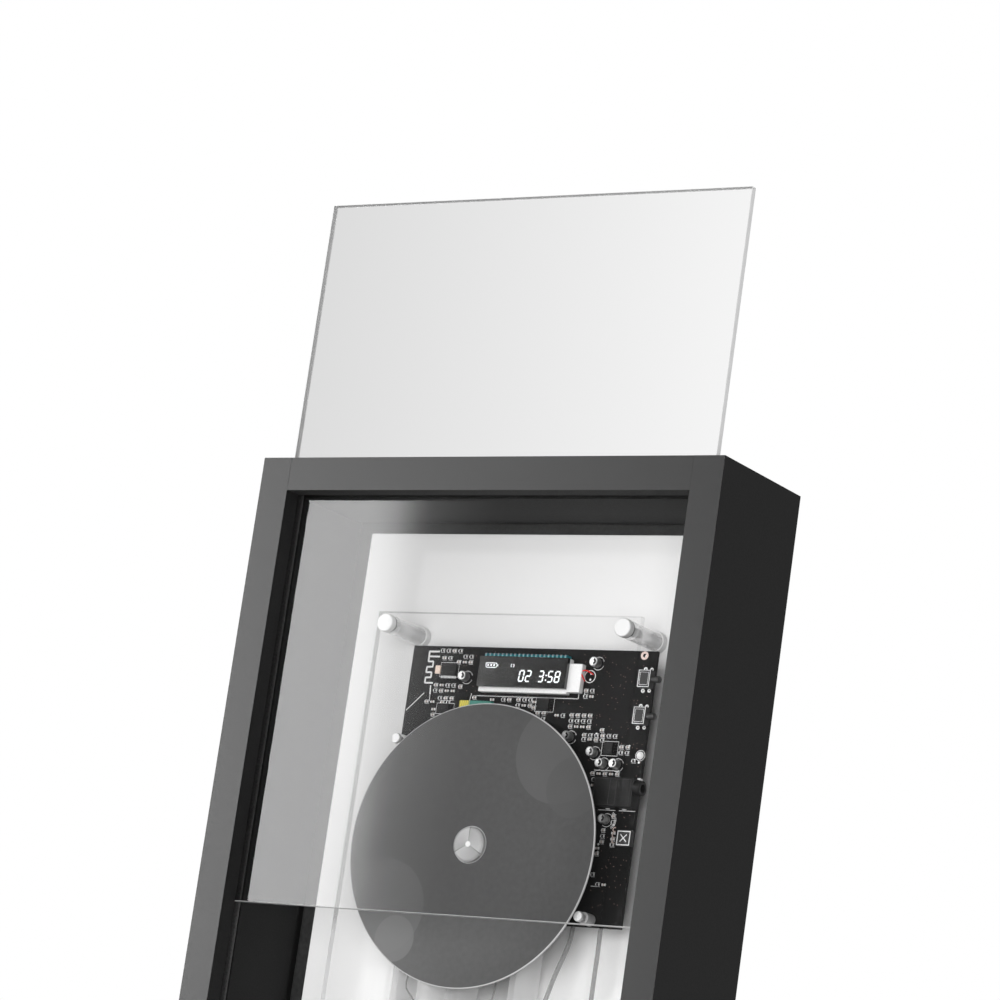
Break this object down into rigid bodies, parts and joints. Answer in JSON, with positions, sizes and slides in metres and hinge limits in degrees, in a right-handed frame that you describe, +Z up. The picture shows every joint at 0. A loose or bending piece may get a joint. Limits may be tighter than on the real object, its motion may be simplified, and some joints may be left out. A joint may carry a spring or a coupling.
{
  "type": "wall mounted cd player",
  "caption": "Deep picture frame with a clear pane that slides down over a disc spinning upright on a clear panel, with its circuit board on show.",
  "frame": {"origin": "middle of the frame's footprint on the surface below it, at the underside of the bottom bar", "axes": "+Z up along the bars, -Y out of the frame's open front, +X to the right as seen from the front"},
  "size_m": [0.229, 0.0644, 0.4338],
  "materials": {
    "frame_black": "fine satin black lacquer",
    "dowel_wood": "plain beech",
    "guide_felt": "short felt",
    "pane_clear": "polished clear acrylic",
    "card_white": "smooth matt card",
    "board_black": "hardboard, painted black",
    "screw_steel": "zinc plated",
    "panel_clear": "polished clear acrylic",
    "rod_clear": "polished clear rod",
    "cap_satin": "satin",
    "washer_dark": "plain",
    "drive_plastic": "moulded",
    "damper_rubber": "plain",
    "motor_steel": "drawn can",
    "hub_silver": "bright satin",
    "rod_steel": "ground",
    "disc_grey": "dark grey print under lacquer",
    "lens_glass": "coated lens",
    "pcb_black": "black solder resist",
    "display_dark": "dark display glass",
    "display_white": "white light box",
    "display_teal": "clip pins in teal resin",
    "switch_plastic": "moulded",
    "button_black": "moulded",
    "socket_black": "moulded",
    "sensor_grey": "smoked resin",
    "chip_black": "moulded",
    "can_aluminium": "drawn can",
    "chip_ceramic": "fired ceramic",
    "connector_ivory": "moulded",
    "ribbon_film": "polyimide film",
    "battery_wrap": "heat shrunk sleeve",
    "speaker_steel": "black",
    "cone_paper": "pressed pulp",
    "lead_grey": "clear grey sleeve"
  },
  "bodies": {
    "case": {"left_rail": "frame_black", "right_rail": "frame_black", "top_rail": "frame_black", "top_lip_rail": "frame_black", "bottom_rail": "frame_black", "corner_dowels": "dowel_wood", "guide_strips": "guide_felt", "backing_card": "card_white", "back_panel": "board_black", "back_panel_screws": "screw_steel", "keyhole_plates": "screw_steel", "keyhole_screws": "screw_steel", "mounting_panel": "panel_clear", "standoff_rods": "rod_clear", "standoff_caps": "cap_satin", "cap_washers": "washer_dark", "standoff_base_rings": "cap_satin", "standoff_screws": "screw_steel", "mechanism_plate": "drive_plastic", "damper_rings": "damper_rubber", "mechanism_screws": "screw_steel", "spindle_motor": "motor_steel", "guide_rods": "rod_steel", "sled_motor": "motor_steel", "circuit_board": "pcb_black", "board_spacers": "screw_steel", "board_screws": "screw_steel", "display_glass": "display_dark", "display_backlight": "display_white", "display_pins": "display_teal", "switch_bodies": "switch_plastic", "headphone_socket": "socket_black", "infrared_receiver": "sensor_grey", "board_chips": "chip_black", "board_capacitors": "can_aluminium", "small_components": "chip_ceramic", "ribbon_connectors": "connector_ivory", "mechanism_ribbon": "ribbon_film", "battery": "battery_wrap", "speaker_chambers": "panel_clear", "speaker_frames": "speaker_steel", "board_leads": "lead_grey", "power_socket": "socket_black"},
    "pane": {"front_pane": "pane_clear"},
    "spindle": {"turntable": "drive_plastic", "spindle_shaft": "rod_steel", "turntable_mat": "damper_rubber", "centre_hub": "hub_silver"},
    "top_catch": {"hub_catch_1": "hub_silver"},
    "left_catch": {"hub_catch_2": "hub_silver"},
    "right_catch": {"hub_catch_3": "hub_silver"},
    "record_disc": {"disc": "disc_grey"},
    "pickup": {"pickup_sled": "drive_plastic"},
    "lens": {"objective_lens": "lens_glass"},
    "feed_screw": {"lead_screw": "rod_steel"},
    "power_push": {"power_button": "button_black"},
    "pair_push": {"pair_button": "button_black"},
    "left_speaker_cone": {"left_cone": "cone_paper"},
    "right_speaker_cone": {"right_cone": "cone_paper"}
  },
  "joints": [
    {"name": "pane_slide", "type": "slide", "parent": "case", "child": "pane", "axis": [0, 0, 1], "range_m": [-0.1168, 0.17]},
    {"name": "spindle_spin", "type": "hinge", "parent": "case", "child": "spindle", "pos_m": [0, 0, 0.1585], "axis": [0, 1, 0], "continuous": true},
    {"name": "top_catch_slide", "type": "slide", "parent": "spindle", "child": "top_catch", "axis": [0, 0, -1], "range_m": [0, 0.0005], "stiffness_N_per_m": 400},
    {"name": "left_catch_slide", "type": "slide", "parent": "spindle", "child": "left_catch", "axis": [0.866, 0, 0.5], "range_m": [0, 0.0005], "stiffness_N_per_m": 400},
    {"name": "right_catch_slide", "type": "slide", "parent": "spindle", "child": "right_catch", "axis": [-0.866, 0, 0.5], "range_m": [0, 0.0005], "stiffness_N_per_m": 400},
    {"name": "disc_lift", "type": "slide", "parent": "spindle", "child": "record_disc", "axis": [0, -1, 0], "range_m": [0, 0.012]},
    {"name": "pickup_slide", "type": "slide", "parent": "case", "child": "pickup", "axis": [-1, 0, 0], "range_m": [-0.006, 0.026]},
    {"name": "lens_focus", "type": "slide", "parent": "pickup", "child": "lens", "axis": [0, 1, 0], "range_m": [-0.0005, 0.0005], "stiffness_N_per_m": 60},
    {"name": "feed_screw_spin", "type": "hinge", "parent": "case", "child": "feed_screw", "pos_m": [-0.026, 0.01175, 0.133], "axis": [1, 0, 0], "range_deg": [-720, 3120]},
    {"name": "power_press", "type": "slide", "parent": "case", "child": "power_push", "axis": [-1, 0, 0], "range_m": [0, 0.0005], "stiffness_N_per_m": 500},
    {"name": "pair_press", "type": "slide", "parent": "case", "child": "pair_push", "axis": [-1, 0, 0], "range_m": [0, 0.0005], "stiffness_N_per_m": 500},
    {"name": "left_cone_travel", "type": "slide", "parent": "case", "child": "left_speaker_cone", "axis": [0, 1, 0], "range_m": [-0.0005, 0.0005], "stiffness_N_per_m": 500},
    {"name": "right_cone_travel", "type": "slide", "parent": "case", "child": "right_speaker_cone", "axis": [0, 1, 0], "range_m": [-0.0005, 0.0005], "stiffness_N_per_m": 500}
  ],
  "couplings": [
    {"joint": "feed_screw_spin", "follows": "pickup_slide", "rad_per_m": 2094.4}
  ]
}
